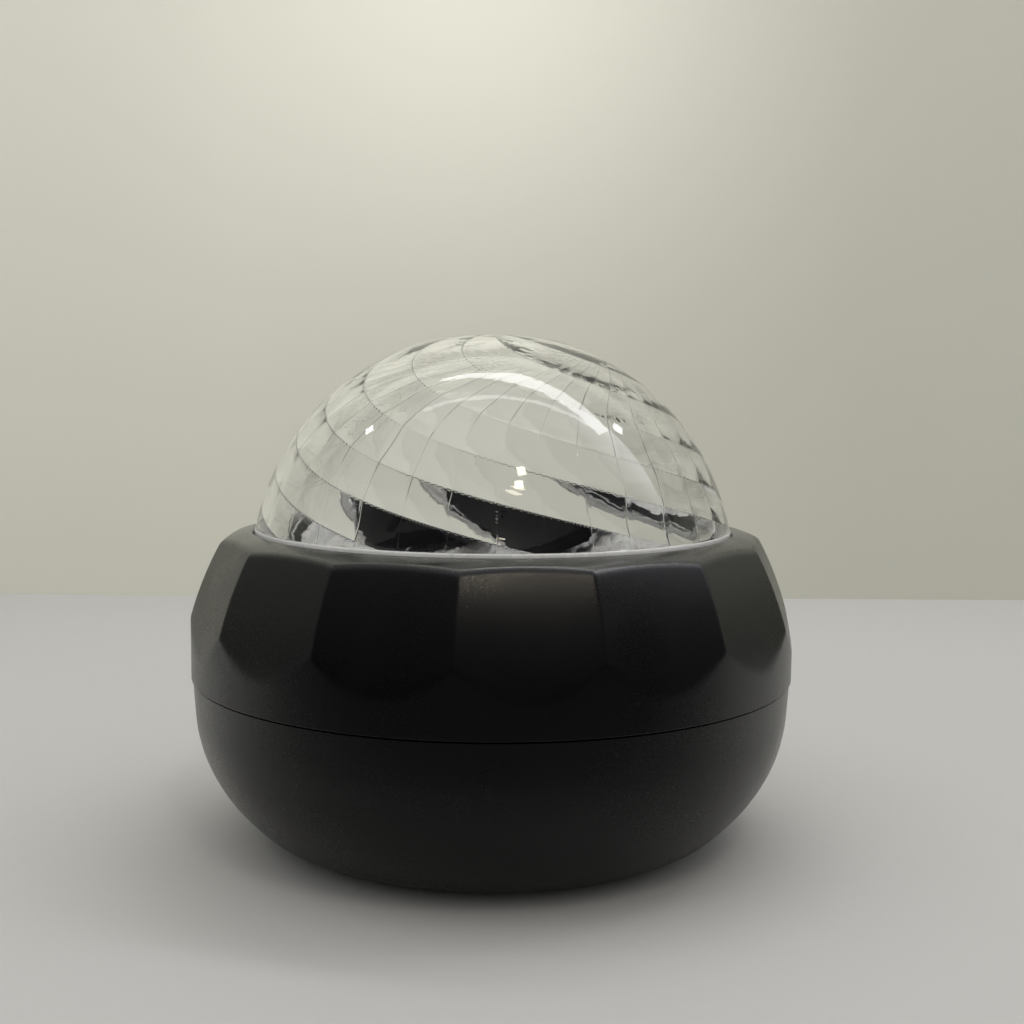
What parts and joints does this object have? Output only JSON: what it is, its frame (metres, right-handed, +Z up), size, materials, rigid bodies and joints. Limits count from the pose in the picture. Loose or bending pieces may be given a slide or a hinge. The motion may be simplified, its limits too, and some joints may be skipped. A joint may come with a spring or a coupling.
{
  "type": "water light projector lamp",
  "caption": "Round table projector lamp: faceted black housing on a bowl base, thick clear spiral-banded dome, and a geared wave disc over lamps.",
  "frame": {"origin": "middle of the footprint, on the surface the feet stand on", "axes": "+Z up along the axis of the dome and the wave disc, -Y to the front, +Y to the side with the inlet and the button"},
  "size_m": [0.11, 0.11, 0.0926],
  "materials": {
    "black_shell": "satin",
    "clear_dome": "polished",
    "clear_disc": "polished",
    "clear_lens": "polished",
    "black_parts": "satin",
    "white_gear": "satin",
    "steel": "brushed",
    "brass_parts": "satin",
    "rubber_feet": "matte",
    "board_green": "satin",
    "board_white": "satin",
    "lamp_body": "gloss",
    "chip_black": "matte",
    "motor_plastic": "matte",
    "switch_plastic": "matte",
    "lead_sleeve": "matte"
  },
  "bodies": {
    "case": {"board_components": "chip_black", "board_screws": "steel", "case_screws": "steel", "chassis_screws": "steel", "dome_lens": "clear_dome", "drive_chassis": "black_parts", "foot_pads": "rubber_feet", "inlet_shell": "steel", "inlet_tongue": "black_parts", "lamp_lead": "lead_sleeve", "lamp_lenses": "clear_lens", "lead_connectors": "white_gear", "led_board": "board_white", "led_board_screws": "steel", "led_lamps": "lamp_body", "lower_shell": "black_shell", "main_board": "board_green", "motor_can": "steel", "motor_end_cap": "motor_plastic", "motor_gearbox": "brass_parts", "motor_lead": "lead_sleeve", "motor_screws": "steel", "motor_terminals": "brass_parts", "shade_plate": "black_parts", "shade_screw": "steel", "spindle": "steel", "spindle_clip": "steel", "tact_switch": "black_parts", "thrust_washer": "steel", "upper_shell": "black_shell"},
    "rotor": {"wave_disc": "clear_disc", "rotor_hub": "black_parts", "hub_bush": "brass_parts", "drive_gear": "white_gear"},
    "motor_output": {"motor_shaft": "steel", "motor_pinion": "white_gear"},
    "button": {"power_button": "black_parts", "switch_plunger": "switch_plastic"}
  },
  "joints": [
    {"name": "disc_spin", "type": "hinge", "parent": "case", "child": "rotor", "pos_m": [0, 0, 0.05], "axis": [0, 0, 1], "continuous": true},
    {"name": "motor_spin", "type": "hinge", "parent": "case", "child": "motor_output", "pos_m": [0, -0.0175, 0.045], "axis": [0, 0, 1], "continuous": true},
    {"name": "button_press", "type": "slide", "parent": "case", "child": "button", "axis": [-0.3584, -0.9336, 0], "range_m": [0, 0.0004], "stiffness_N_per_m": 900, "springref_m": -0.0003}
  ],
  "couplings": [
    {"joint": "motor_spin", "follows": "disc_spin", "ratio": -3.375}
  ]
}
